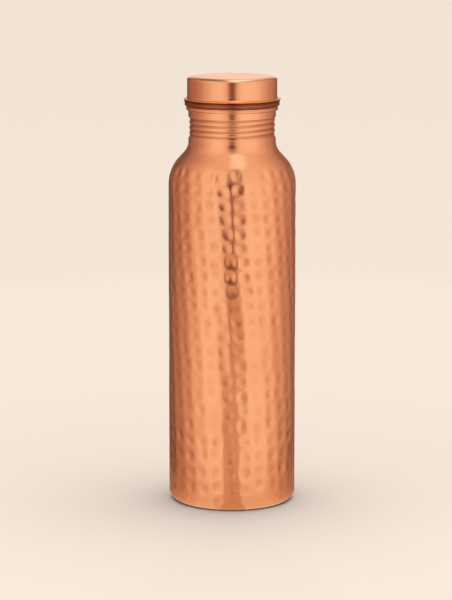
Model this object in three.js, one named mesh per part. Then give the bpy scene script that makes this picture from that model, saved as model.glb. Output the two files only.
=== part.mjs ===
// Copper water bottle with a screw cap, in millimetres.
// +Z is up, the bottle's axis is the Z axis, and the origin is the centre of the base.
// Four pieces: the bottle, the cap's outer shell, its threaded sleeve and its sealing ring.
// The cap is screwed down tight.
import * as THREE from 'three';

// Driving dimensions
const totalHeight = 254;
const bodyRadius = 37.7;
const neckRadius = 25.8;
const capRadius = 26.6;
const bottleSheet = 0.45;
const capSheet = 0.35;
const facesAround = 36;

// Base of the bottle: a flat ring that it stands on, around a shallow recess
const baseCornerRadius = 4.4;
const recessRadius = 21;
const recessRimRadius = 22.5;
const recessHeight = 1.2;

// Shoulder: a convex arc, a straight cone and a concave arc that meets the neck
const shoulderHeight = 190.2;
const shoulderSlope = THREE.MathUtils.degToRad(42.6);
const convexRadius = 23;
const concaveRadius = 9.8;

// Right-hand thread, rolled into the neck and into the cap's sleeve.
// Crest and root are how far the wall moves out; the crest height is where one crosses the +X side.
const threadPitch = 3.15;
const threadCrestHeight = 222.2;
const threadRunIn = threadPitch / 2;
const neckThread = { bottom: 218.9, top: 244, crest: 0.33, root: -0.33 };
const sleeveThread = { bottom: 236, top: 243.5, crest: 0, root: -0.45 };
const neckThreadRadius = 24.95;
const neckStepHeight = 1.1;
const outerRowsPerTurn = 6;
const innerRowsPerTurn = 4;

// Mouth of the bottle, above the thread
const mouthRadius = 24.55;
const mouthStepHeight = 1;
const lipRadius = 0.85;

// Cap: outer shell with a hollow rolled bead, a sleeve inside it and a sealing ring
const clearance = 0.3;
const capCornerRadius = 2.3;
const flareRadius = 1.2;
const beadHeight = 234.1;
const beadCurlRadius = 0.9;
const beadRimHeight = 237;
const beadLipHeight = 240.75;
const beadLipRadius = 28.65;
const beadLipRounding = 0.35;
const sleeveRadius = 25.85;
const sleeveBottom = 230.2;
const sleeveTop = 252.1;
const gasketInnerRadius = 20.5;
const gasketOuterRadius = 25;
const gasketThickness = 2;
const gasketCorner = 0.4;

const capUnderside = totalHeight - capSheet;
const gasketTop = capUnderside - clearance;
const gasketBottom = gasketTop - gasketThickness;
const mouthHeight = gasketBottom - clearance;

// Points of an arc in the outline's plane, angles in degrees from the outward direction.
function arc(centreRadius, centreHeight, radius, fromDegrees, toDegrees, steps) {
  const points = [];
  for (let i = 0; i <= steps; i += 1) {
    const angle = THREE.MathUtils.degToRad(THREE.MathUtils.lerp(fromDegrees, toDegrees, i / steps));
    const outwards = centreRadius + radius * Math.cos(angle);
    const upwards = centreHeight + radius * Math.sin(angle);
    points.push([outwards, upwards]);
  }
  return points;
}

// Evenly spaced points up or down a straight wall.
function wall(radius, fromHeight, toHeight, steps) {
  const points = [];
  for (let i = 0; i <= steps; i += 1) {
    points.push([radius, THREE.MathUtils.lerp(fromHeight, toHeight, i / steps)]);
  }
  return points;
}

// A solid of revolution about +Z. The outline is a list of [radius, height] that runs up the
// outside and down the inside, and either starts and ends on the axis or closes on itself.
function revolve(outline) {
  const points = outline.map(([radius, height]) => new THREE.Vector2(radius, height));
  const geometry = new THREE.LatheGeometry(points, facesAround);
  geometry.rotateX(Math.PI / 2);
  return geometry;
}

// Moves a revolved wall in and out along a right-hand helix between two heights.
function rollThread(geometry, { bottom, top, crest, root }) {
  const places = geometry.attributes.position;
  for (let i = 0; i < places.count; i += 1) {
    const x = places.getX(i);
    const y = places.getY(i);
    const z = places.getZ(i);
    const runIn = Math.min(1, (z - bottom) / threadRunIn, (top - z) / threadRunIn);
    if (runIn > 0) {
      const turn = (z - threadCrestHeight) / threadPitch - Math.atan2(y, x) / (2 * Math.PI);
      const wave = (1 + Math.cos(2 * Math.PI * turn)) / 2;
      const radius = Math.hypot(x, y);
      const moved = radius + runIn * THREE.MathUtils.lerp(root, crest, wave);
      places.setXY(i, (x * moved) / radius, (y * moved) / radius);
    }
  }
}

function threadRows(thread, rowsPerTurn) {
  return Math.round(((thread.top - thread.bottom) / threadPitch) * rowsPerTurn);
}

// Heights of the shoulder's parts: where its arcs end, on the outer face.
function shoulderHeights() {
  const coneOuter = bodyRadius - convexRadius * (1 - Math.cos(shoulderSlope));
  const coneInner = neckRadius + concaveRadius * (1 - Math.cos(shoulderSlope));
  const coneBottom = shoulderHeight + convexRadius * Math.sin(shoulderSlope);
  const coneTop = coneBottom + (coneOuter - coneInner) / Math.tan(shoulderSlope);
  return { coneBottom, coneTop, neckFoot: coneTop + concaveRadius * Math.sin(shoulderSlope) };
}

// One face of the bottle's wall from the base to under the lip, at a depth inside the outer face.
function bottleFace(depth, threadRowsPerTurn) {
  const slopeDegrees = THREE.MathUtils.radToDeg(shoulderSlope);
  const { neckFoot } = shoulderHeights();
  const cornerCentre = bodyRadius - baseCornerRadius;
  const convexCentre = bodyRadius - convexRadius;
  const concaveCentre = neckRadius + concaveRadius;
  const rows = threadRows(neckThread, threadRowsPerTurn);
  return [
    [0, recessHeight + depth],
    [recessRadius, recessHeight + depth],
    [recessRimRadius, depth],
    ...arc(cornerCentre, baseCornerRadius, baseCornerRadius - depth, -90, 0, 5),
    ...arc(convexCentre, shoulderHeight, convexRadius - depth, 0, slopeDegrees, 5),
    ...arc(concaveCentre, neckFoot, concaveRadius + depth, 180 + slopeDegrees, 180, 4),
    [neckRadius - depth, neckThread.bottom - neckStepHeight],
    ...wall(neckThreadRadius - depth, neckThread.bottom, neckThread.top, rows),
    [mouthRadius - depth, neckThread.top + mouthStepHeight],
  ];
}

function makeBottleShell() {
  const lipCentreRadius = mouthRadius - lipRadius;
  const lipCentreHeight = mouthHeight - lipRadius;
  const innerReach = lipRadius - bottleSheet;
  const lipEnd = 360 - THREE.MathUtils.radToDeg(Math.acos(innerReach / lipRadius));
  const geometry = revolve([
    ...bottleFace(0, outerRowsPerTurn),
    ...arc(lipCentreRadius, lipCentreHeight, lipRadius, 0, lipEnd, 9),
    ...bottleFace(bottleSheet, innerRowsPerTurn).reverse(),
  ]);
  rollThread(geometry, neckThread);
  return geometry;
}

// The cap's outer shell: a flat top, a straight wall, a flare out to a thin lip, a nearly upright
// band below the lip and a small curl at the bottom. The bead is hollow.
function makeCapOuterShell() {
  const cornerRadius = capRadius - capCornerRadius;
  const cornerHeight = totalHeight - capCornerRadius;
  const flareCentre = capRadius + flareRadius;
  const flareHeight = beadLipHeight + beadLipRounding + flareRadius;
  const innerCorner = capCornerRadius - capSheet;
  const innerWall = capRadius - capSheet;
  return revolve([
    [innerWall, beadHeight + capSheet],
    [innerWall, beadHeight],
    ...arc(innerWall + 0.05, beadHeight + beadCurlRadius, beadCurlRadius, -90, 45, 4),
    [beadLipRadius - 1.6, beadRimHeight - 0.85],
    [beadLipRadius - 0.8, beadRimHeight - 0.15],
    [beadLipRadius - 0.7, beadRimHeight + 0.1],
    [beadLipRadius - 0.5, beadLipHeight - 0.85],
    [beadLipRadius - 0.75, beadLipHeight - 0.45],
    ...arc(beadLipRadius - beadLipRounding, beadLipHeight, beadLipRounding, -60, 90, 3),
    ...arc(flareCentre, flareHeight, flareRadius, 270, 180, 4),
    ...arc(cornerRadius, cornerHeight, capCornerRadius, 0, 90, 5),
    [0, totalHeight],
    [0, capUnderside],
    ...arc(cornerRadius, cornerHeight, innerCorner, 90, 0, 4),
    ...arc(flareCentre, flareHeight, flareRadius + capSheet, 180, 235, 3),
    [beadLipRadius - 1.25, beadLipHeight - 0.45],
    [beadLipRadius - 0.9, beadLipHeight - 0.95],
    [beadLipRadius - 1.05, beadRimHeight + 0.2],
    [beadLipRadius - 1.9, beadRimHeight - 0.6],
    [innerWall + 0.15, beadHeight + capSheet],
    [innerWall, beadHeight + capSheet],
  ]);
}

// The threaded tube inside the cap, which shows below the bead.
function makeCapThreadSleeve() {
  const innerRadius = sleeveRadius - capSheet;
  const { bottom, top } = sleeveThread;
  const rows = threadRows(sleeveThread, outerRowsPerTurn);
  const geometry = revolve([
    [innerRadius, sleeveBottom],
    [sleeveRadius, sleeveBottom],
    ...wall(sleeveRadius, bottom, top, rows),
    [sleeveRadius, sleeveTop],
    [innerRadius, sleeveTop],
    ...wall(innerRadius, top, bottom, rows),
    [innerRadius, sleeveBottom],
  ]);
  rollThread(geometry, sleeveThread);
  return geometry;
}

// The flat silicone ring that the mouth of the bottle seals against.
function makeCapGasket() {
  const innerEdge = gasketInnerRadius + gasketCorner;
  const outerEdge = gasketOuterRadius - gasketCorner;
  return revolve([
    [innerEdge, gasketBottom],
    [outerEdge, gasketBottom],
    [gasketOuterRadius, gasketBottom + gasketCorner],
    [gasketOuterRadius, gasketTop - gasketCorner],
    [outerEdge, gasketTop],
    [innerEdge, gasketTop],
    [gasketInnerRadius, gasketTop - gasketCorner],
    [gasketInnerRadius, gasketBottom + gasketCorner],
    [innerEdge, gasketBottom],
  ]);
}

function copper(color, roughness) {
  return new THREE.MeshStandardMaterial({ color, roughness, metalness: 1 });
}

function silicone() {
  return new THREE.MeshStandardMaterial({ color: '#e6e1d6', roughness: 0.6, metalness: 0 });
}

function piece(name, geometry, material) {
  const mesh = new THREE.Mesh(geometry, material);
  mesh.name = name;
  return mesh;
}

const bottle = new THREE.Group();
bottle.add(piece('bottle_shell', makeBottleShell(), copper('#cf7d52', 0.28)));

const cap = new THREE.Group();
cap.add(piece('cap_outer_shell', makeCapOuterShell(), copper('#d58459', 0.22)));
cap.add(piece('cap_thread_sleeve', makeCapThreadSleeve(), copper('#c9784e', 0.25)));
cap.add(piece('cap_gasket', makeCapGasket(), silicone()));

const group = new THREE.Group();
group.add(bottle, cap);

export default group;
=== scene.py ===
"""Hammered copper water bottle with a screw cap, standing on a pale floor in a white light tent.

Metres and degrees, +Z up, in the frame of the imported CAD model.
"""
import math

import bpy
import numpy as np
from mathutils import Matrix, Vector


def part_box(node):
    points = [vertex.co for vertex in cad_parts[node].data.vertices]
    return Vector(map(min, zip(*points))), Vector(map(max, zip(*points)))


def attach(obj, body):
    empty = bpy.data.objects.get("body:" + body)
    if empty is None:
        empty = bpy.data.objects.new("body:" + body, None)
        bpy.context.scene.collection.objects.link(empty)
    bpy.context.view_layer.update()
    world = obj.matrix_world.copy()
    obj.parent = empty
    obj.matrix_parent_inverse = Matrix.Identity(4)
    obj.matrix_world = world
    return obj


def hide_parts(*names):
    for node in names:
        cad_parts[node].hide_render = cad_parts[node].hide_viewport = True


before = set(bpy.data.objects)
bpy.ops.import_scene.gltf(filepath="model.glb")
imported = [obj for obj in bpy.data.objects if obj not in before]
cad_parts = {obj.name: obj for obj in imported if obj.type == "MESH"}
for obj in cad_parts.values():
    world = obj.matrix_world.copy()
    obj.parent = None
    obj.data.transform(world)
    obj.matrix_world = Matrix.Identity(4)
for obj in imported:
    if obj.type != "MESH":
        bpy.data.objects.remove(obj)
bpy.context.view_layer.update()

MM = 0.001
TURN = 2.0 * math.pi

# Places and sizes that come from the CAD nodes
bottle_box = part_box("bottle_shell")
shell_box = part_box("cap_outer_shell")
sleeve_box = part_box("cap_thread_sleeve")
gasket_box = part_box("cap_gasket")
BODY_RADIUS = bottle_box[1][0]
MOUTH_HEIGHT = bottle_box[1][2]
CAP_TOP = shell_box[1][2]
BEAD_RADIUS = shell_box[1][0]
BEAD_BOTTOM = shell_box[0][2]
SLEEVE_RADIUS = sleeve_box[1][0]
SLEEVE_BOTTOM = sleeve_box[0][2]
SLEEVE_TOP = sleeve_box[1][2]
GASKET_RADIUS = gasket_box[1][0]
GASKET_BOTTOM = gasket_box[0][2]
GASKET_TOP = gasket_box[1][2]

# The bottle's own outline
BOTTLE_SHEET = 0.45 * MM
NECK_RADIUS = 25.8 * MM
BASE_CORNER = 5.4 * MM
RECESS_RADIUS = 21 * MM
RECESS_RIM_RADIUS = 22.5 * MM
RECESS_RIM_ROUNDING = 0.6 * MM
RECESS_HEIGHT = 1.2 * MM
SHOULDER_HEIGHT = 190.2 * MM
SHOULDER_SLOPE = 42.6
CONVEX_RADIUS = 23 * MM
CONCAVE_RADIUS = 9.8 * MM

# The rolled thread, on the neck and in the cap's sleeve
THREAD_PITCH = 3.15 * MM
THREAD_CREST_HEIGHT = 222.2 * MM
THREAD_RUN_IN = THREAD_PITCH / 2
THREAD_FULLNESS = 0.7
THREAD_RADIUS = 24.95 * MM
NECK_THREAD = {"bottom": 218.9 * MM, "top": 244 * MM, "crest": 0.33 * MM, "root": -0.22 * MM}
SLEEVE_THREAD = {"bottom": 236 * MM, "top": 243.5 * MM, "crest": 0.0, "root": -0.45 * MM}
NECK_STEP = 1.1 * MM
MOUTH_RADIUS = 24.55 * MM
MOUTH_STEP = 1 * MM
LIP_RADIUS = 0.85 * MM

# The cap: its top edge, and the bead with a rim, a hollow band and a lip, from its foot upwards
CAP_SHEET = 0.35 * MM
CAP_RADIUS = 26.6 * MM
CAP_EDGE_RADIUS = 1.7 * MM
CAP_EDGE_SLOPE = 20
CAP_CROWN_RADIUS = 11 * MM
FLAT_INSIDE = 0.85 * MM
CURL_RADIUS = 0.9 * MM
RIM_HEIGHT = 237.2 * MM
RIM_ROUNDING = 0.2 * MM
BEAD_LIP_HEIGHT = 240.75 * MM
BEAD_LIP_ROUNDING = 0.35 * MM
FLARE_RADIUS = 1.2 * MM
FLARE_HEIGHT = BEAD_LIP_HEIGHT + BEAD_LIP_ROUNDING + FLARE_RADIUS
GASKET_HOLE = 20.5 * MM
GASKET_CORNER = 0.5 * MM

# Hammer marks: rings of upright oval hollows, each ring a little to the right of the one above.
# They are deeper and lean more on the upper body, and are deep again just above the base.
MARK_COLUMNS = 27
MARK_FIRST_COLUMN = -86.3
MARK_TOP = 198.5 * MM
MARK_SPACING_TOP = 8.2 * MM
MARK_SPACING_BOTTOM = 9.6 * MM
MARK_DEPTH_TOP = 0.46 * MM
MARK_DEPTH_BOTTOM = 0.35 * MM
MARK_DEPTH_CHANGE = (87 * MM, 137 * MM)
MARK_FOOT_CHANGE = (35 * MM, 60 * MM)
MARK_REACH_AROUND = 0.5
MARK_REACH_UP_TOP = 0.62
MARK_REACH_UP_BOTTOM = 0.68
MARK_LEAN_TOP = 5.6
MARK_LEAN_BOTTOM = 2.5
MARK_LEAN_CHANGE = (35 * MM, 115 * MM)
MARK_SEED = 11
# Random change of a mark's angle, height, depth, width and length, as shares
MARK_JITTER = (0.06, 0.08, 0.2, 0.07, 0.1)
# The hammering fades in above the base, round its corner, and out over the shoulder
HAMMER_FOOT_HEIGHT = (1 * MM, 6 * MM)
HAMMER_BASE_RADIUS = (RECESS_RIM_RADIUS + 8 * MM, BODY_RADIUS - 3 * MM)
HAMMER_END_HEIGHT = (MARK_TOP + 3 * MM, MARK_TOP + 6 * MM)
# How far sunk a hollow is where its painted shade is darkest
HOLLOW_DARKEST = 0.42 * MM

# Mesh fineness: points in a ring, and the distance between rings
AROUND_BODY = 432
AROUND_CAP = 256
AROUND_TENT = 128
AROUND_DISC = 96
ROW = 0.7 * MM
INNER_ROW = 2.5 * ROW
BASE_ROW = 2 * MM
RECESS_ROW = 3 * MM
MOUTH_ROW = 1.5 * MM
CAP_ROW = 1 * MM
SLEEVE_EDGE_ROW = 0.6 * MM
BEAD_ROW = 0.15 * MM
BAND_ROW = 0.4 * MM
THREAD_ROWS = 16
FIRST_RING = 2 * MM
GAP = 1 * MM


# ---------------------------------------------------------------- outlines

def arc(centre_radius, centre_height, radius, start, end, steps):
    """Points of an arc as (distance from the axis, height). Angles are measured from outwards."""
    angles = np.radians(np.linspace(start, end, steps + 1))
    return [(centre_radius + radius * math.cos(a), centre_height + radius * math.sin(a)) for a in angles]


def line(start, end, step):
    """Evenly spaced points from start to end, both included, about a step apart."""
    count = max(1, round(math.dist(start, end) / step))
    return [
        (start[0] + (end[0] - start[0]) * i / count, start[1] + (end[1] - start[1]) * i / count)
        for i in range(count + 1)
    ]


def smooth_step(value, low, high):
    """0 below low and 1 above high, with a smooth change between them."""
    t = np.clip((value - low) / (high - low), 0.0, 1.0)
    return t * t * (3.0 - 2.0 * t)


def between(bottom, top, share):
    """The value that is a share of the way from bottom to top."""
    return bottom + (top - bottom) * share


# ---------------------------------------------------------------- meshes

def revolve(name, outline, around, shape=None):
    """A closed solid of revolution. The outline goes round its section with the solid on its left,
    and either starts and ends on the axis or closes on itself. shape moves the points of the whole
    grid."""
    outline = np.array(outline)
    on_axis = outline[0][0] == 0.0
    rings = outline[1:-1] if on_axis else outline[:-1]
    angle = np.linspace(0.0, TURN, around, endpoint=False)[None, :]
    radius = np.repeat(rings[:, :1], around, axis=1)
    height = np.repeat(rings[:, 1:], around, axis=1)
    if shape:
        radius = shape(angle, radius, height)
    points = np.stack([radius * np.cos(angle), radius * np.sin(angle), height], axis=2).reshape(-1, 3)
    count = len(rings)
    here = np.arange(around)
    after = np.roll(here, -1)
    faces = []
    for row in range(count - 1 if on_axis else count):
        low = row * around
        high = ((row + 1) % count) * around
        faces += np.stack([low + here, low + after, high + after, high + here], axis=1).tolist()
    points = points.tolist()
    if on_axis:
        first = len(points)
        last = first + 1
        top = (count - 1) * around
        points += [[0.0, 0.0, outline[0][1]], [0.0, 0.0, outline[-1][1]]]
        faces += [[first, int(b), int(a)] for a, b in zip(here, after)]
        faces += [[last, int(top + a), int(top + b)] for a, b in zip(here, after)]
    mesh = bpy.data.meshes.new(name)
    mesh.from_pydata(points, [], faces)
    mesh.shade_smooth()
    mesh.update()
    piece = bpy.data.objects.new(name, mesh)
    bpy.context.scene.collection.objects.link(piece)
    return piece


def thread_wave(angle, height, thread):
    """How far a rolled thread moves a wall out."""
    turn = (height - THREAD_CREST_HEIGHT) / THREAD_PITCH - angle / TURN
    ridge = ((1.0 + np.cos(TURN * turn)) / 2.0) ** THREAD_FULLNESS
    start = np.clip((height - thread["bottom"]) / THREAD_RUN_IN, 0.0, 1.0)
    end = np.clip((thread["top"] - height) / THREAD_RUN_IN, 0.0, 1.0)
    return np.minimum(start, end) * between(thread["root"], thread["crest"], ridge)


def keep_depth(piece, name, depth, where):
    """Stores a depth from 0 to 1 on the mesh's points for its material to use."""
    values = piece.data.attributes.new(name, "FLOAT", "POINT")
    values.data.foreach_set("value", np.where(where, np.clip(depth, 0.0, 1.0), 0.0))


# ---------------------------------------------------------------- the bottle

def mark_places():
    """Centre angle and height, size, lean and depth of every hammer mark."""
    random = np.random.default_rng(MARK_SEED)
    spacing_around = TURN / MARK_COLUMNS
    places = []
    height = MARK_TOP
    drift = math.radians(MARK_FIRST_COLUMN)
    while height > 0:
        spacing = between(MARK_SPACING_BOTTOM, MARK_SPACING_TOP, height / MARK_TOP)
        upper = float(smooth_step(height, *MARK_LEAN_CHANGE))
        lean = math.radians(between(MARK_LEAN_BOTTOM, MARK_LEAN_TOP, upper))
        foot = 1.0 - float(smooth_step(height, *MARK_FOOT_CHANGE))
        deep = max(float(smooth_step(height, *MARK_DEPTH_CHANGE)), foot)
        depth = between(MARK_DEPTH_BOTTOM, MARK_DEPTH_TOP, deep)
        reach_up = between(MARK_REACH_UP_BOTTOM, MARK_REACH_UP_TOP, deep)
        for column in range(MARK_COLUMNS):
            turned, raised, deeper, wider, taller = random.normal(0.0, 1.0, 5) * MARK_JITTER
            places.append({
                "angle": drift + spacing_around * (column + turned),
                "height": height + raised * spacing,
                "lean": lean,
                "depth": depth * (1.0 + deeper),
                "width": spacing_around * BODY_RADIUS * MARK_REACH_AROUND * (1.0 + wider),
                "tall": spacing * reach_up * (1.0 + taller),
            })
        height -= spacing
        drift += spacing * math.tan(lean) / BODY_RADIUS
    return places


def hump(distance, reach):
    """A smooth hump, 1 in the middle and 0 from reach outwards."""
    return np.cos(0.5 * math.pi * np.clip(np.abs(distance) / reach, 0.0, 1.0)) ** 2


def hammered_depth(angle, height):
    """How far hammering has sunk each point of the body's grid."""
    sunk = np.zeros_like(height)
    rows = height[:, 0]
    for mark in mark_places():
        near = np.nonzero(np.abs(rows - mark["height"]) < mark["tall"])[0]
        if len(near) == 0:
            continue
        up = height[near] - mark["height"]
        turned = (angle - mark["angle"] + math.pi) % TURN - math.pi
        across = turned * BODY_RADIUS + up * math.tan(mark["lean"])
        sunk[near] += mark["depth"] * hump(across, mark["width"]) * hump(up, mark["tall"])
    return sunk * smooth_step(height, *HAMMER_FOOT_HEIGHT)


def bottle_face(depth, row_step, thread_rows):
    """One face of the bottle's wall, a depth inside the outer one, from the base to under the lip."""
    slope = math.radians(SHOULDER_SLOPE)
    cone_outer = BODY_RADIUS - CONVEX_RADIUS * (1.0 - math.cos(slope))
    cone_inner = NECK_RADIUS + CONCAVE_RADIUS * (1.0 - math.cos(slope))
    cone_bottom = SHOULDER_HEIGHT + CONVEX_RADIUS * math.sin(slope)
    cone_top = cone_bottom + (cone_outer - cone_inner) / math.tan(slope)
    neck_foot = cone_top + CONCAVE_RADIUS * math.sin(slope)
    convex_centre = BODY_RADIUS - CONVEX_RADIUS
    concave_centre = NECK_RADIUS + CONCAVE_RADIUS
    recess = RECESS_HEIGHT + depth
    corner = BODY_RADIUS - BASE_CORNER
    body = BODY_RADIUS - depth
    neck = NECK_RADIUS - depth
    thread = THREAD_RADIUS - depth
    mouth = MOUTH_RADIUS - depth
    thread_start = NECK_THREAD["bottom"]
    thread_end = NECK_THREAD["top"]
    convex = arc(convex_centre, SHOULDER_HEIGHT, CONVEX_RADIUS - depth, 0, SHOULDER_SLOPE, 26)
    concave = arc(concave_centre, neck_foot, CONCAVE_RADIUS + depth, 180 + SHOULDER_SLOPE, 180, 14)
    return [
        (0.0, recess),
        *line((FIRST_RING, recess), (RECESS_RADIUS, recess), RECESS_ROW),
        *arc(RECESS_RIM_RADIUS, depth, RECESS_RIM_ROUNDING, 150, 95, 3),
        *line((RECESS_RIM_RADIUS + GAP, depth), (corner - GAP, depth), BASE_ROW),
        *arc(corner, BASE_CORNER, BASE_CORNER - depth, -90, 0, 14),
        *line((body, BASE_CORNER + row_step), (body, SHOULDER_HEIGHT - row_step), row_step),
        *convex,
        *line(convex[-1], concave[0], row_step)[1:-1],
        *concave,
        *line((neck, neck_foot + row_step), (neck, thread_start - NECK_STEP), row_step),
        *line((thread, thread_start), (thread, thread_end), THREAD_PITCH / thread_rows),
        *line((mouth, thread_end + MOUTH_STEP), (mouth, MOUTH_HEIGHT - 2 * LIP_RADIUS), MOUTH_ROW),
    ]


def hammered_bottle():
    """The bottle: hammered body, smooth shoulder, threaded neck and rolled lip."""
    def shape(angle, radius, height):
        body = smooth_step(radius, *HAMMER_BASE_RADIUS)
        above_body = smooth_step(height, *HAMMER_END_HEIGHT)
        dented = radius - hammered_depth(angle, height) * body * (1.0 - above_body)
        return dented + thread_wave(angle, height, NECK_THREAD)

    lip_end = 360 - math.degrees(math.acos((LIP_RADIUS - BOTTLE_SHEET) / LIP_RADIUS))
    outline = [
        *bottle_face(0.0, ROW, THREAD_ROWS),
        *arc(MOUTH_RADIUS - LIP_RADIUS, MOUTH_HEIGHT - LIP_RADIUS, LIP_RADIUS, 0, lip_end, 20),
        *bottle_face(BOTTLE_SHEET, INNER_ROW, THREAD_ROWS // 2)[::-1],
    ]
    bottle = revolve("hammered_bottle", outline, AROUND_BODY, shape)
    places = np.empty(3 * len(bottle.data.vertices))
    bottle.data.vertices.foreach_get("co", places)
    x, y, height = places.reshape(-1, 3).T
    radius = np.hypot(x, y)
    on_body = (height > BASE_CORNER) & (height < SHOULDER_HEIGHT)
    on_neck = (height > NECK_THREAD["bottom"]) & (height < SLEEVE_BOTTOM)
    thread_depth = NECK_THREAD["crest"] - NECK_THREAD["root"]
    keep_depth(bottle, "hollow", (BODY_RADIUS - radius) / HOLLOW_DARKEST, on_body)
    keep_depth(bottle, "groove", (THREAD_RADIUS + NECK_THREAD["crest"] - radius) / thread_depth, on_neck)
    return bottle


# ---------------------------------------------------------------- the cap

def rim_point(inside, above):
    """A point of the bead, in millimetres inside its outer edge and above the middle of its rim."""
    return (BEAD_RADIUS - inside * MM, RIM_HEIGHT + above * MM)


def lip_point(inside, above):
    """A point of the bead, in millimetres inside its outer edge and above the middle of its lip."""
    return (BEAD_RADIUS - inside * MM, BEAD_LIP_HEIGHT + above * MM)


def bead_inside(wall):
    """The inner face of the bead's sheet, from the flare down to the foot of the cap's inner wall."""
    return [
        lip_point(1.25, -0.45),
        lip_point(0.9, -0.95),
        rim_point(1.05, 0.2),
        rim_point(1.9, -0.6),
        (wall + 0.15 * MM, BEAD_BOTTOM + CAP_SHEET),
        (wall, BEAD_BOTTOM + CAP_SHEET),
        (wall, BEAD_BOTTOM),
    ]


def bead_outside(wall):
    """The outer face of the bead: the curl at its foot, a slope out to the rim, the hollow band, the
    crease under the lip, and round the lip."""
    return [
        *arc(wall + 0.05 * MM, BEAD_BOTTOM + CURL_RADIUS, CURL_RADIUS, -90, 48, 16),
        *line(rim_point(1.6, -0.85), rim_point(0.95, -0.2), BEAD_ROW),
        *arc(*rim_point(0.9, 0.0), RIM_ROUNDING, -45, 5, 5),
        *line(rim_point(0.69, 0.4), lip_point(0.52, -0.9), BAND_ROW),
        lip_point(0.56, -0.65),
        lip_point(0.75, -0.45),
        *arc(BEAD_RADIUS - BEAD_LIP_ROUNDING, BEAD_LIP_HEIGHT, BEAD_LIP_ROUNDING, -60, 90, 12),
    ]


def spun_cap_shell():
    """The cap's outer shell: a slightly crowned top, a straight wall, a flare and the bead."""
    slope = math.radians(CAP_EDGE_SLOPE)
    crown_angle = 90 - CAP_EDGE_SLOPE
    crown_height = CAP_TOP - CAP_CROWN_RADIUS
    edge_centre = CAP_RADIUS - CAP_EDGE_RADIUS
    edge_height = crown_height + (CAP_CROWN_RADIUS - CAP_EDGE_RADIUS) * math.cos(slope)
    crown_centre = edge_centre - (CAP_CROWN_RADIUS - CAP_EDGE_RADIUS) * math.sin(slope)
    flare_centre = CAP_RADIUS + FLARE_RADIUS
    under_top = CAP_TOP - CAP_SHEET
    wall = CAP_RADIUS - CAP_SHEET
    outline = [
        (0.0, under_top),
        *line((FIRST_RING, under_top), (edge_centre - FLAT_INSIDE, under_top), BASE_ROW),
        *arc(edge_centre, edge_height, CAP_EDGE_RADIUS - CAP_SHEET, crown_angle, 0, 8),
        *arc(flare_centre, FLARE_HEIGHT, FLARE_RADIUS + CAP_SHEET, 180, 235, 8),
        *bead_inside(wall),
        *bead_outside(wall),
        *arc(flare_centre, FLARE_HEIGHT, FLARE_RADIUS, 270, 180, 14),
        *line((CAP_RADIUS, FLARE_HEIGHT + GAP), (CAP_RADIUS, edge_height - GAP / 2), CAP_ROW),
        *arc(edge_centre, edge_height, CAP_EDGE_RADIUS, 0, crown_angle, 12)[:-1],
        *arc(crown_centre, crown_height, CAP_CROWN_RADIUS, crown_angle, 90, 14),
        *line((crown_centre - GAP, CAP_TOP), (FIRST_RING, CAP_TOP), BASE_ROW),
        (0.0, CAP_TOP),
    ]
    return revolve("spun_cap_shell", outline, AROUND_CAP)


def threaded_sleeve():
    """The thin tube inside the cap, with the thread rolled into it and both edges rounded."""
    inner = SLEEVE_RADIUS - CAP_SHEET
    edge = CAP_SHEET / 2
    bottom = SLEEVE_THREAD["bottom"]
    top = SLEEVE_THREAD["top"]
    step = THREAD_PITCH / THREAD_ROWS
    outline = [
        *arc(inner + edge, SLEEVE_BOTTOM + edge, edge, -180, 0, 6),
        *line((SLEEVE_RADIUS, SLEEVE_BOTTOM + SLEEVE_EDGE_ROW), (SLEEVE_RADIUS, bottom), SLEEVE_EDGE_ROW),
        *line((SLEEVE_RADIUS, bottom), (SLEEVE_RADIUS, top), step)[1:],
        *line((SLEEVE_RADIUS, top + GAP), (SLEEVE_RADIUS, SLEEVE_TOP - SLEEVE_EDGE_ROW), CAP_ROW),
        *arc(inner + edge, SLEEVE_TOP - edge, edge, 0, 180, 6),
        *line((inner, SLEEVE_TOP - SLEEVE_EDGE_ROW), (inner, top + GAP), CAP_ROW),
        *line((inner, top), (inner, bottom), step),
        *line((inner, bottom - GAP), (inner, SLEEVE_BOTTOM + SLEEVE_EDGE_ROW), CAP_ROW),
        (inner, SLEEVE_BOTTOM + edge),
    ]

    def shape(angle, radius, height):
        return radius + thread_wave(angle, height, SLEEVE_THREAD)

    return revolve("threaded_sleeve", outline, AROUND_CAP, shape)


def sealing_ring():
    """The flat silicone ring under the cap's top, with rounded corners."""
    inner = GASKET_HOLE + GASKET_CORNER
    outer = GASKET_RADIUS - GASKET_CORNER
    low = GASKET_BOTTOM + GASKET_CORNER
    high = GASKET_TOP - GASKET_CORNER
    flat_start = GASKET_HOLE + GAP
    flat_end = GASKET_RADIUS - GAP
    outline = [
        *arc(outer, low, GASKET_CORNER, -90, 0, 5),
        *arc(outer, high, GASKET_CORNER, 0, 90, 5),
        *line((flat_end, GASKET_TOP), (flat_start, GASKET_TOP), CAP_ROW),
        *arc(inner, high, GASKET_CORNER, 90, 180, 5),
        *arc(inner, low, GASKET_CORNER, 180, 270, 5),
        *line((flat_start, GASKET_BOTTOM), (flat_end, GASKET_BOTTOM), CAP_ROW),
        (outer, GASKET_BOTTOM),
    ]
    return revolve("sealing_ring", outline, AROUND_CAP)


# ---------------------------------------------------------------- materials

COPPER = (0.955, 0.415, 0.205)
# Painted shade down the neck thread's grooves
THREAD_ROOT_SHADE = (0.68, 0.265, 0.115)
# Painted shade on the bead's hollow band, redder on its rib and darkest in the crease under the lip
BAND_SHADE = (0.25, 0.075, 0.035)
RIB_SHADE = (0.36, 0.12, 0.07)
CREASE_SHADE = (0.20, 0.028, 0.008)
SILICONE = (0.78, 0.75, 0.69)
SILICONE_PALE = (0.84, 0.82, 0.77)
# What clouds leave of the copper's colour, and what the painted shade in the hammer hollows leaves of it
CLOUD_SHADE = (0.93, 0.84, 0.78)
HOLLOW_PAINTED_SHADE = (0.9, 0.78, 0.7)

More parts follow.
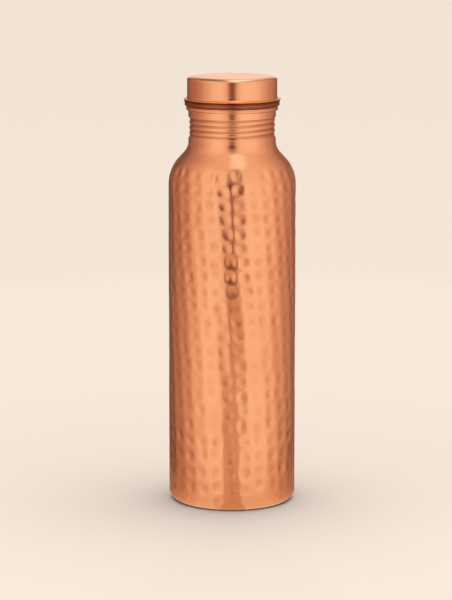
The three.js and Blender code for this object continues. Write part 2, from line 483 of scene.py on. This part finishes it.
# How much of the colour the clouds and specks take, and how strong the bump of the specks is beside
# that of the rings
CLOUD_SHARE = 0.55
SPECK_SHARE = 0.25
SPECK_BUMP = 0.6
# How strong the painted shade in a hollow is in weak and strong patches, and how fast that falls off up
# its side
PATCHY_SHADING = (0.45, 1.0)
SHADING_FALL = 1.6
# Where down a thread groove its painted shade begins and is full
THREAD_ROOT_SHADE_REACH = (0.15, 0.75)

BOTTLE_ROUGHNESS = 0.19
CAP_ROUGHNESS = 0.175
SLEEVE_ROUGHNESS = 0.18
SILICONE_ROUGHNESS = (0.48, 0.62)
FLOOR_ROUGHNESS = 0.9
# What the clouds multiply roughness by, and what the rings, hollows and the bead's shaded band add to it
CLOUD_ROUGHER = (0.88, 1.18)
RING_ROUGHER = (-0.012, 0.016)
HOLLOW_ROUGHER = 0.03
BAND_ROUGHER = 0.12

BOTTLE_RING_BUMP = 0.25
CAP_RING_BUMP = 0.3
SLEEVE_RING_BUMP = 0.35
COPPER_BUMP_DEPTH = 0.02 * MM
SILICONE_BUMP = 0.3
SILICONE_BUMP_DEPTH = 0.05 * MM
SILICONE_LIGHT_IN = 0.25
SILICONE_LIGHT_DEPTH = 1 * MM

# Fineness of each pattern, in features for each metre
CLOUDS = 38.0
PATCHES = 170.0
UNEVEN_EDGE = 240.0
SPECKS = 900.0
RINGS_ALONG = 2200.0
RINGS_AROUND = 18.0
SILICONE_CLOUDS = 90.0
SILICONE_GRAIN = 1500.0

# The part of a noise's range that is used, from little of a pattern to all of it
NOISE = (0.3, 0.7)
CLOUD_NOISE = (0.35, 0.68)
SPECK_NOISE = (0.45, 0.75)
PATCH_NOISE = (0.35, 0.65)

# Bottom, top and softness of the painted shade on the bead's band: brown, redder on its rib and darker in
# its crease
BAND_PLACE = (RIM_HEIGHT - 0.85 * MM, BEAD_LIP_HEIGHT - 0.25 * MM, 0.1 * MM)
RIB_PLACE = (RIM_HEIGHT + 0.7 * MM, RIM_HEIGHT + 1.5 * MM, 0.3 * MM)
CREASE_PLACE = (BEAD_LIP_HEIGHT - 1.5 * MM, BEAD_LIP_HEIGHT - 0.2 * MM, 0.3 * MM)
UNEVEN_BY = 0.15 * MM


class Nodes:
    """Short names for adding and linking the nodes of one node tree."""

    def __init__(self, tree):
        self.tree = tree
        tree.nodes.clear()

    def add(self, kind, **settings):
        node = self.tree.nodes.new(kind)
        for name, value in settings.items():
            setattr(node, name, value)
        return node

    def feed(self, socket, value):
        """Links an output to a socket, or sets the socket to a number or a colour."""
        if isinstance(value, bpy.types.NodeSocket):
            self.tree.links.new(value, socket)
        elif isinstance(value, tuple):
            socket.default_value = (*value, 1.0)
        else:
            socket.default_value = value

    def point(self):
        """Place on the object, in metres."""
        return self.add("ShaderNodeTexCoord").outputs["Object"]

    def split(self, vector):
        parts = self.add("ShaderNodeSeparateXYZ")
        self.feed(parts.inputs[0], vector)
        return parts.outputs

    def join(self, *parts):
        node = self.add("ShaderNodeCombineXYZ")
        for socket, part in zip(node.inputs, parts):
            self.feed(socket, part)
        return node.outputs[0]

    def attribute(self, name):
        return self.add("ShaderNodeAttribute", attribute_name=name).outputs["Fac"]

    def math(self, operation, a, b=0.0):
        node = self.add("ShaderNodeMath", operation=operation)
        for socket, value in zip(node.inputs, (a, b)):
            self.feed(socket, value)
        return node.outputs[0]

    def times(self, first, *others):
        for other in others:
            first = self.math("MULTIPLY", first, other)
        return first

    def plus(self, a, b):
        return self.math("ADD", a, b)

    def length(self, a, b):
        return self.math("SQRT", self.plus(self.times(a, a), self.times(b, b)))

    def noise(self, vector, scale, detail=3.0, roughness=0.5):
        node = self.add("ShaderNodeTexNoise")
        self.feed(node.inputs["Vector"], vector)
        node.inputs["Scale"].default_value = scale
        node.inputs["Detail"].default_value = detail
        node.inputs["Roughness"].default_value = roughness
        return node.outputs["Fac"]

    def spread(self, value, reach, to_low, to_high):
        """to_low where the value is at the first end of its reach, and to_high at the second end."""
        node = self.add("ShaderNodeMapRange")
        for name, number in zip(("Value", "From Min", "From Max", "To Min", "To Max"),
                                (value, *reach, to_low, to_high)):
            self.feed(node.inputs[name], number)
        return node.outputs["Result"]

    def rise(self, value, reach, most=1.0):
        """0 at the first end of the reach, and most at the second end."""
        return self.spread(value, reach, 0.0, most)

    def window(self, value, edges):
        """Rises from 0 to 1 between the first two edges, and falls back between the last two."""
        return self.times(self.rise(value, edges[:2]), self.rise(value, edges[:1:-1]))

    def mix(self, share, a, b):
        node = self.add("ShaderNodeMix", data_type="RGBA")
        self.feed(node.inputs["Factor"], share)
        for name, value in (("A", a), ("B", b)):
            socket = [s for s in node.inputs if s.name == name and s.type == "RGBA"][0]
            self.feed(socket, value)
        return [s for s in node.outputs if s.type == "RGBA"][0]

    def ramp(self, value, stops, low, high):
        """A colour ramp whose stops are (place, colour), with places between low and high."""
        node = self.add("ShaderNodeValToRGB")
        node.color_ramp.interpolation = "EASE"
        elements = node.color_ramp.elements
        elements.remove(elements[-1])
        positions = [(place - low) / (high - low) for place, _ in stops]
        elements[0].position = positions[0]
        for position in positions[1:]:
            elements.new(position)
        for element, (_, colour) in zip(elements, stops):
            element.color = (*colour, 1.0)
        self.feed(node.inputs["Fac"], self.rise(value, (low, high)))
        return node.outputs["Color"]

    def show(self, surface):
        """Makes a shader the material's surface."""
        self.feed(self.add("ShaderNodeOutputMaterial").inputs["Surface"], surface)

    def bump(self, shader, strength, depth, height):
        node = self.add("ShaderNodeBump")
        node.inputs["Strength"].default_value = strength
        node.inputs["Distance"].default_value = depth
        self.feed(node.inputs["Height"], height)
        self.feed(shader.inputs["Normal"], node.outputs[0])


def shaded(colour, shares):
    """What the shares leave of a colour's red, green and blue."""
    return tuple(part * share for part, share in zip(colour, shares))


def new_material(name):
    """A material and the nodes of its empty tree."""
    material = bpy.data.materials.new(name)
    material.use_nodes = True
    return material, Nodes(material.node_tree)


def principled(nodes):
    """A Principled shader that the material's surface shows."""
    shader = nodes.add("ShaderNodeBsdfPrincipled")
    nodes.show(shader.outputs[0])
    return shader


def spin_lines(nodes, point):
    """Coordinates that stretch a noise into fine rings about the bottle's axis."""
    x, y, z = nodes.split(point)
    along = nodes.times(nodes.plus(nodes.length(x, y), z), RINGS_ALONG)
    return nodes.join(nodes.times(x, RINGS_AROUND), nodes.times(y, RINGS_AROUND), along)


def height_mask(nodes, point, bottom, top, soft):
    """1 between two heights, with slightly uneven edges."""
    uneven = nodes.spread(nodes.noise(point, UNEVEN_EDGE), NOISE, -UNEVEN_BY, UNEVEN_BY)
    height = nodes.plus(nodes.split(point)[2], uneven)
    return nodes.window(height, (bottom - soft, bottom + soft, top - soft, top + soft))


def painted_hammer_and_thread_shade(nodes, point, base, rough):
    """Paints shade into the hollows of hammering, in patches, and into the grooves of the neck's thread.
    """
    hollow = nodes.attribute("hollow")
    # Painted shade in the hammer hollows, darker the deeper they are, stronger in patches
    patchy = nodes.spread(nodes.noise(point, PATCHES, 2.0), PATCH_NOISE, *PATCHY_SHADING)
    sunk_shade = nodes.times(nodes.math("POWER", hollow, SHADING_FALL), patchy)
    base = nodes.mix(sunk_shade, base, shaded(COPPER, HOLLOW_PAINTED_SHADE))
    # Painted shade down the thread's grooves
    base = nodes.mix(nodes.rise(nodes.attribute("groove"), THREAD_ROOT_SHADE_REACH), base, THREAD_ROOT_SHADE)
    return base, nodes.plus(rough, nodes.times(hollow, HOLLOW_ROUGHER))


def painted_band_shade(nodes, point, base, rough):
    """Paints shade into the bead's hollow band, brown, redder on its rib and darkest in the crease under
    the lip.
    """
    band = height_mask(nodes, point, *BAND_PLACE)
    # Painted shade: a brown band, a redder rib and the darkest crease under the lip
    brown = nodes.mix(height_mask(nodes, point, *RIB_PLACE), BAND_SHADE, RIB_SHADE)
    brown = nodes.mix(height_mask(nodes, point, *CREASE_PLACE), brown, CREASE_SHADE)
    return nodes.mix(band, base, brown), nodes.plus(rough, nodes.times(band, BAND_ROUGHER))


def copper(name, roughness, ring_bump, painted_shade=None):
    """Satin copper with warm clouds, specks, and fine rings from spinning and polishing. Its last
    argument adds the painted shade that only one piece has."""
    material, nodes = new_material(name)
    shader = principled(nodes)
    shader.inputs["Metallic"].default_value = 1.0
    point = nodes.point()
    clouds = nodes.noise(point, CLOUDS, 4.0, 0.55)
    specks = nodes.noise(point, SPECKS, 2.0, 0.6)
    rings = nodes.noise(spin_lines(nodes, point), 1.0, 2.0, 0.7)
    clouded = shaded(COPPER, CLOUD_SHADE)
    base = nodes.mix(nodes.rise(clouds, CLOUD_NOISE, CLOUD_SHARE), COPPER, clouded)
    base = nodes.mix(nodes.rise(specks, SPECK_NOISE, SPECK_SHARE), base, clouded)
    rough = nodes.spread(clouds, NOISE, *(roughness * rougher for rougher in CLOUD_ROUGHER))
    rough = nodes.plus(rough, nodes.spread(rings, NOISE, *RING_ROUGHER))
    # The painted shade that only this piece has
    if painted_shade:
        base, rough = painted_shade(nodes, point, base, rough)
    nodes.feed(shader.inputs["Base Color"], base)
    nodes.feed(shader.inputs["Roughness"], rough)
    nodes.bump(shader, ring_bump, COPPER_BUMP_DEPTH, nodes.plus(rings, nodes.times(specks, SPECK_BUMP)))
    return material


def silicone():
    """Matte off-white silicone, slightly cloudy and fine-grained, that lets a little light in."""
    material, nodes = new_material("off_white_silicone")
    shader = principled(nodes)
    point = nodes.point()
    clouds = nodes.noise(point, SILICONE_CLOUDS)
    nodes.feed(shader.inputs["Base Color"], nodes.mix(nodes.rise(clouds, NOISE), SILICONE, SILICONE_PALE))
    nodes.feed(shader.inputs["Roughness"], nodes.spread(clouds, NOISE, *SILICONE_ROUGHNESS))
    shader.inputs["Subsurface Weight"].default_value = SILICONE_LIGHT_IN
    shader.inputs["Subsurface Scale"].default_value = SILICONE_LIGHT_DEPTH
    nodes.bump(shader, SILICONE_BUMP, SILICONE_BUMP_DEPTH, nodes.noise(point, SILICONE_GRAIN))
    return material


# ---------------------------------------------------------------- the studio

# Light that the tent's wall gives. Directions round the bottle are 0 towards the camera, and
# positive to its right.
PANEL = (1.01, 1.04, 1.02)
PANEL_EDGE = (0.94, 0.89, 0.84)
SIDE_NEAR = (0.76, 0.62, 0.58)
SIDE = (0.53, 0.40, 0.37)
LEFT_PANEL_EDGE = (0.86, 0.77, 0.71)
LEFT_NEAR = (0.63, 0.48, 0.43)
LEFT_SIDE = (0.44, 0.30, 0.26)
LEFT_SHADE = (0.36, 0.21, 0.16)
BACK_LEFT = (0.15, 0.085, 0.06)
BACK_RIGHT = (0.25, 0.155, 0.12)
MIDDLE = (0.86, 0.78, 0.73)
SLIT = (0.22, 0.05, 0.006)
UPPER_SLIT = (0.10, 0.015, 0.0)
CARD_MIDDLE = (0.69, 0.55, 0.455)
# Painted shadow of the bottle on the card's light, next to its foot
CARD_SHADOW = (0.55, 0.36, 0.23)
UNDER = (0.36, 0.23, 0.19)
BACKDROP = (1.02, 0.82, 0.64)
OVERHEAD = (0.88, 0.80, 0.73)
LAMP = (1.06, 1.3, 1.4)
LAMP_TOP = (1.7, 2.1, 2.3)
FLOOR_COLOUR = (0.86, 0.745, 0.635)
TENT_STRENGTH = 1.07

# Stops of the ring of light, by angle round the bottle. Between the two panels it has a narrow dark
# slit, or a wide mild middle lower down and on the card.
NARROW_MIDDLE = [(-15, MIDDLE), (-9, MIDDLE), (-4, SLIT), (4, SLIT), (9, MIDDLE), (15, MIDDLE)]
WIDE_MIDDLE = [(-15, PANEL_EDGE), (-6, CARD_MIDDLE), (6, CARD_MIDDLE), (16, CARD_MIDDLE), (23, PANEL)]
CARD_STOPS = [(-19, PANEL_EDGE), (-13, CARD_MIDDLE), (0, CARD_MIDDLE), (15, CARD_MIDDLE), (20, PANEL)]
LEFT_STOPS = [
    (-180, BACK_LEFT), (-150, BACK_LEFT), (-110, LEFT_SIDE), (-87, LEFT_NEAR), (-66, LEFT_PANEL_EDGE),
    (-42, PANEL), (-26, PANEL),
]
RIGHT_STOPS = [
    (26, PANEL), (48, PANEL), (68, PANEL_EDGE), (88, SIDE_NEAR), (112, SIDE), (150, BACK_RIGHT),
    (180, BACK_RIGHT),
]

# Where each light of the tent begins and ends, in angles above the level (UP), round the bottle from
# the front (ROUND, or SIDE for both sides alike), and over the bottle from the front (TILT). The
# roof's sides are counted from its own middle.
WIDE_UP = (-7.0, -12.0)
SHADE_UP = (2.0, 4.0, 5.0, 9.0)
SHADE_ROUND = (-30.0, -80.0)
GLEAM_UP = (-4.0, 0.0, 3.5, 6.5)
GLEAM_SIDE = (95.0, 50.0)
SLIT_UP = (0.5, 4.0)
SLIT_SIDE = (12.5, 6.5)
LIGHTER_UP = (14.0, 34.0)
ROOF_MIDDLE = 14.0
ROOF_SIDE = (140.0, 55.0)
OVERHEAD_UP = (38.0, 60.0)
ABOVE_BACK_UP = (22.0, 40.0)
STRIP_UP = (-2.0, 4.0, 18.0, 34.0)
STRIP_SIDE = (164.0, 174.0)
UNDER_UP = (-25.0, -35.0)
LAMP_TILT = (55.0, 67.0, 125.0, 155.0)
LAMP_TOP_TILT = (84.0, 96.0)
LAMP_NARROWS_TILT = (78.0, 94.0)

# How far the lamp reaches to the left and to the right of the tent's middle, in tent radii
LAMP_LEFT = (-0.07, 0.02)
LAMP_RIGHT = 0.35
LAMP_RIGHT_TOP = 0.2
LAMP_SOFTNESS = 0.11

# How much of the colour each of these takes where it is strongest
SHADE_SHARE = 0.65
GLEAM_SHARE = 0.2
LIGHTER_SHARE = 0.4
ABOVE_BACK_SHARE = 0.2
CARD_SHADOW_SHARE = 0.38

TENT_RADIUS = 0.8
TENT_HEIGHT = 0.12
CARD_RADIUS = 0.34
CARD_THICKNESS = 0.2 * MM

# Near the bottle the card's ring of light is squeezed, and a painted shadow of the bottle browns it. OUT
# is the distance from its middle.
CARD_SQUEEZE = (1.35, 1.05)
CARD_SQUEEZE_OUT = (0.05, 0.25)
CARD_SHADOW_OUT = (0.13, 0.075)

FLOOR_RADIUS = 30.0
FLOOR_THICKNESS = 0.02

# The folds of the panels' cloth: how far apart they are round the tent, and how much they darken it
FOLD_ANGLE = 9
FOLD_STRENGTH = 0.2


def direction(nodes):
    """Angle round the bottle and angle above the level of a point of the tent or the card."""
    x, y, z = nodes.split(nodes.point())
    around = nodes.math("ARCTAN2", x, nodes.times(y, -1.0))
    up = nodes.math("ARCTAN2", z, nodes.length(x, y))
    return nodes.times(around, math.degrees(1)), nodes.times(up, math.degrees(1))


def ring_of_light(nodes, around, middle):
    """Light by angle round the bottle: a wide soft panel on each side of a darker middle. The cloth
    of the panels is a little uneven."""
    folds = nodes.join(nodes.math("DIVIDE", around, FOLD_ANGLE))
    uneven = nodes.rise(nodes.noise(folds, 1.0, 2.0), PATCH_NOISE, FOLD_STRENGTH)
    ring = nodes.ramp(around, [*LEFT_STOPS, *middle, *RIGHT_STOPS], -180, 180)
    return nodes.mix(uneven, ring, SIDE)


def tent_wall(nodes, around, up):
    """The ring of light, shaded on the left above the level, with a faint gleam round the level and a
    darker slit in front above it."""
    ring = nodes.mix(
        nodes.rise(up, WIDE_UP),
        ring_of_light(nodes, around, NARROW_MIDDLE),
        ring_of_light(nodes, around, WIDE_MIDDLE),
    )
    aside = nodes.math("ABSOLUTE", around)
    shade = nodes.times(nodes.window(up, SHADE_UP), nodes.rise(around, SHADE_ROUND, SHADE_SHARE))
    gleam = nodes.times(nodes.window(up, GLEAM_UP), nodes.rise(aside, GLEAM_SIDE, GLEAM_SHARE))
    slit = nodes.times(nodes.rise(aside, SLIT_SIDE), nodes.rise(up, SLIT_UP))
    colour = nodes.mix(shade, ring, LEFT_SHADE)
    colour = nodes.mix(gleam, colour, LAMP)
    return nodes.mix(slit, colour, UPPER_SLIT)


def tent_roof(nodes, around, up, colour):
    """Lightens the tent's wall upwards in front, and less over the back."""
    turned = nodes.math("ABSOLUTE", nodes.math("SUBTRACT", around, ROOF_MIDDLE))
    ahead = nodes.rise(turned, ROOF_SIDE)
    lighter = nodes.times(ahead, nodes.rise(up, LIGHTER_UP, LIGHTER_SHARE))
    overhead = nodes.times(nodes.rise(up, OVERHEAD_UP), ahead)
    away = nodes.rise(turned, ROOF_SIDE[::-1])
    above_back = nodes.times(away, nodes.rise(up, ABOVE_BACK_UP, ABOVE_BACK_SHARE))
    colour = nodes.mix(lighter, colour, PANEL_EDGE)
    return nodes.mix(nodes.plus(overhead, above_back), colour, OVERHEAD)


def tent_colour(nodes):
    """The tent's wall and roof, a pale strip behind, the lamp over the bottle and a dark foot."""
    around, up = direction(nodes)
    colour = tent_roof(nodes, around, up, tent_wall(nodes, around, up))
    behind = nodes.rise(nodes.math("ABSOLUTE", around), STRIP_SIDE)
    colour = nodes.mix(nodes.times(nodes.window(up, STRIP_UP), behind), colour, BACKDROP)
    across, tilt = lamp_place(nodes)
    lamp = nodes.mix(nodes.rise(tilt, LAMP_TOP_TILT), LAMP, LAMP_TOP)
    colour = nodes.mix(lamp_share(nodes, across, tilt), colour, lamp)
    return nodes.mix(nodes.rise(up, UNDER_UP), colour, UNDER)


def lamp_place(nodes):
    """Place across the tent, -1 to 1, and angle from the level front up and over the bottle."""
    x, y, z = nodes.split(nodes.point())
    tilt = nodes.math("ARCTAN2", z, nodes.times(y, -1.0))
    return nodes.math("DIVIDE", x, TENT_RADIUS), nodes.times(tilt, math.degrees(1))


def lamp_share(nodes, across, tilt):
    """1 inside the tent's lamp, an oblong that runs from high in front to behind the bottle's top, and
    narrows overhead."""
    right = nodes.spread(tilt, LAMP_NARROWS_TILT, LAMP_RIGHT, LAMP_RIGHT_TOP)
    inside = nodes.rise(nodes.math("SUBTRACT", right, across), (0.0, LAMP_SOFTNESS))
    return nodes.times(nodes.rise(across, LAMP_LEFT), inside, nodes.window(tilt, LAMP_TILT))


def distance_out(nodes):
    """Distance from the card's middle."""
    distance = nodes.add("ShaderNodeVectorMath", operation="LENGTH")
    nodes.feed(distance.inputs[0], nodes.point())
    return distance.outputs["Value"]


def card_colour(nodes):
    """The card's light follows the ring of light, with a wide mild middle and a painted shadow of the
    bottle that browns it at the bottle's foot.
    """
    around, _ = direction(nodes)
    out = distance_out(nodes)
    squeeze = nodes.spread(out, CARD_SQUEEZE_OUT, *CARD_SQUEEZE)
    light = ring_of_light(nodes, nodes.times(around, squeeze), CARD_STOPS)
    # A painted shadow of the bottle browns the card near its foot
    return nodes.mix(nodes.rise(out, CARD_SHADOW_OUT, CARD_SHADOW_SHARE), light, CARD_SHADOW)


def card_fade(nodes):
    """The card is solid near the bottle and fades out towards its rim."""
    return nodes.rise(distance_out(nodes), (CARD_RADIUS, CARD_RADIUS / 2))


def glow(name, colour, fade=None):
    """A material that only gives light, and lets through what fade leaves of it."""
    material, nodes = new_material(name)
    light = nodes.add("ShaderNodeEmission")
    light.inputs["Strength"].default_value = TENT_STRENGTH
    nodes.feed(light.inputs["Color"], colour(nodes))
    surface = light.outputs[0]
    if fade:
        blend = nodes.add("ShaderNodeMixShader")
        nodes.feed(blend.inputs[0], fade(nodes))
        nodes.feed(blend.inputs[1], nodes.add("ShaderNodeBsdfTransparent").outputs[0])
        nodes.feed(blend.inputs[2], surface)
        surface = blend.outputs[0]
    nodes.show(surface)
    material.cycles.emission_sampling = "NONE"
    return material


def seen_in_gloss_only(thing):
    """Hides a thing from the camera, from shadows and from all light but glossy reflections."""
    thing.visible_camera = False
    thing.visible_diffuse = False
    thing.visible_shadow = False
    thing.visible_transmission = False


def flat_disc(name, radius, bottom, top):
    """A disc about the bottle's axis, between two heights."""
    disc = revolve(name, [(0.0, bottom), (radius, bottom), (radius, top), (0.0, top)], AROUND_DISC)
    disc.data.shade_flat()
    return disc


def light_tent():
    """A round white tent that only the bottle's gloss sees."""
    outline = arc(0.0, 0.0, TENT_RADIUS, -90, 90, 64)
    outline[0] = (0.0, -TENT_RADIUS)
    outline[-1] = (0.0, TENT_RADIUS)
    tent = revolve("light_tent", outline, AROUND_TENT)
    tent.location = (0.0, 0.0, TENT_HEIGHT)
    tent.data.materials.append(glow("tent_light", tent_colour))
    seen_in_gloss_only(tent)


def pale_card():
    """A pale card under the bottle that brightens its foot and the undersides of its threads."""
    card = flat_disc("pale_card", CARD_RADIUS, 0.0, CARD_THICKNESS)
    card.data.materials.append(glow("card_light", card_colour, card_fade))
    seen_in_gloss_only(card)


def pale_floor():
    """A broad pale floor whose top is at the bottle's foot."""
    floor = flat_disc("pale_floor", FLOOR_RADIUS, -FLOOR_THICKNESS, 0.0)
    material, nodes = new_material("pale_floor")
    shader = principled(nodes)
    nodes.feed(shader.inputs["Base Color"], FLOOR_COLOUR)
    nodes.feed(shader.inputs["Roughness"], FLOOR_ROUGHNESS)
    floor.data.materials.append(material)
    floor.visible_glossy = False
    floor.visible_shadow = False


SKY_STRENGTH = 0.55
KEY_STRENGTH = 1.82
KEY_WIDTH = 60
KEY_PLACE = (0.1, 0.2, 1.5)


def soft_light():
    """An even white sky, and a broad light from above that gives the bottle a soft shadow."""
    world = bpy.data.worlds.new("soft_white")
    world.use_nodes = True
    sky = world.node_tree.nodes["Background"]
    sky.inputs["Color"].default_value = (1.0, 1.0, 1.0, 1.0)
    sky.inputs["Strength"].default_value = SKY_STRENGTH
    bpy.context.scene.world = world
    world.cycles_visibility.glossy = False
    lamp = bpy.data.lights.new("key_lamp", "SUN")
    lamp.angle = math.radians(KEY_WIDTH)
    lamp.energy = KEY_STRENGTH
    key = bpy.data.objects.new("key_lamp", lamp)
    bpy.context.scene.collection.objects.link(key)
    key.location = KEY_PLACE
    key.rotation_euler = (-key.location).to_track_quat("-Z", "Y").to_euler()
    key.visible_glossy = False
    key.visible_camera = False


CAMERA_PLACE = (0.0, -1.504, 0.388)
CAMERA_AIM = (-0.0036, 0.0, 0.1203)
LENS = 153.7
SENSOR_WIDTH = 36.0


def photo_camera():
    """A long lens in front of the bottle, from slightly above, as in the photo."""
    camera = bpy.data.cameras.new("camera")
    camera.lens = LENS
    camera.sensor_width = SENSOR_WIDTH
    holder = bpy.data.objects.new("camera", camera)
    bpy.context.scene.collection.objects.link(holder)
    holder.location = CAMERA_PLACE
    aim = type(holder.location)(CAMERA_AIM) - holder.location
    holder.rotation_euler = aim.to_track_quat("-Z", "Y").to_euler()
    bpy.context.scene.camera = holder


# ---------------------------------------------------------------- the model

def place(piece, node, body, slot, material):
    """The piece stands for its CAD node, moves with its body and takes the given material. The slot is
    not used.
    """
    piece.data.materials.append(material)
    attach(piece, body)
    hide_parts(node)


photo_camera()
bottle_finish = copper("hammered_copper", BOTTLE_ROUGHNESS, BOTTLE_RING_BUMP, painted_hammer_and_thread_shade)
cap_finish = copper("cap_copper", CAP_ROUGHNESS, CAP_RING_BUMP, painted_band_shade)
sleeve_finish = copper("sleeve_copper", SLEEVE_ROUGHNESS, SLEEVE_RING_BUMP)
place(hammered_bottle(), "bottle_shell", "bottle", "hammered_copper", bottle_finish)
place(spun_cap_shell(), "cap_outer_shell", "cap", "cap_copper", cap_finish)
place(threaded_sleeve(), "cap_thread_sleeve", "cap", "sleeve_copper", sleeve_finish)
place(sealing_ring(), "cap_gasket", "cap_seal", "silicone", silicone())
light_tent()
pale_card()
pale_floor()
soft_light()
bpy.context.scene.view_settings.view_transform = "Standard"
bpy.context.scene.cycles.caustics_reflective = False
